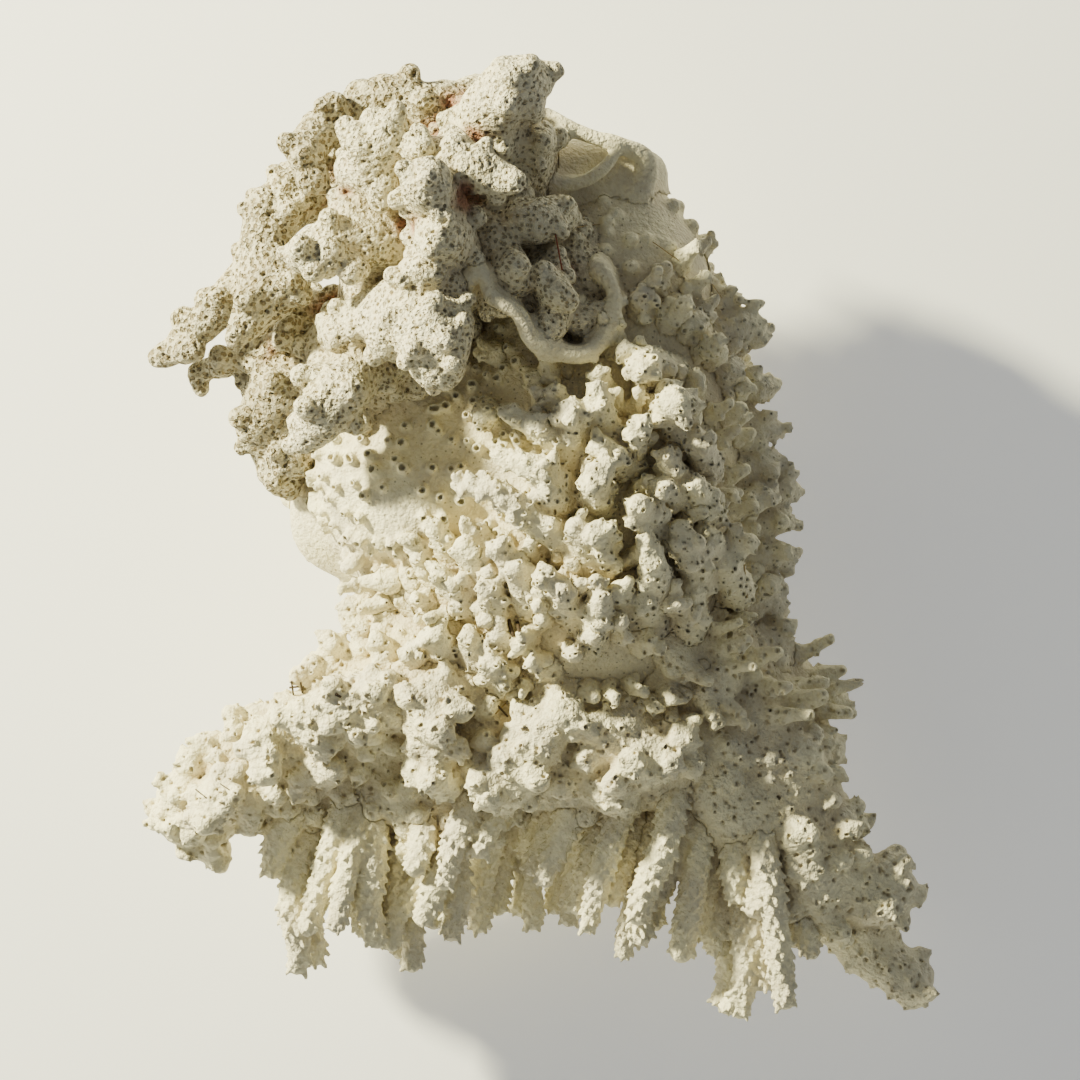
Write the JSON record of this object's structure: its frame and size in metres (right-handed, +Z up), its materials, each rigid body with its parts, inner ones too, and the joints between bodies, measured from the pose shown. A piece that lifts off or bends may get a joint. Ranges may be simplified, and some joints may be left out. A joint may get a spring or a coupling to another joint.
{
  "type": "branching coral",
  "caption": "Bleached branching coral cut flat at its foot, with a knobbly crown, spreading arms and hanging finger-like branchlets.",
  "frame": {"origin": "middle of the flat cut where the coral was sawn from its rock", "axes": "+Z up from the cut, +Y from the finger tips towards the crown, +X towards the right arm"},
  "size_m": [0.1616, 0.193, 0.0963],
  "materials": {
    "coral_skeleton": "matte, rough and porous"
  },
  "bodies": {
    "root": {"trunk": "coral_skeleton", "crown_middle": "coral_skeleton", "crown_left_limb": "coral_skeleton", "crown_top": "coral_skeleton", "shoulder_shell": "coral_skeleton", "left_arm": "coral_skeleton", "right_arm": "coral_skeleton", "centre_lobes": "coral_skeleton"}
  },
  "joints": []
}
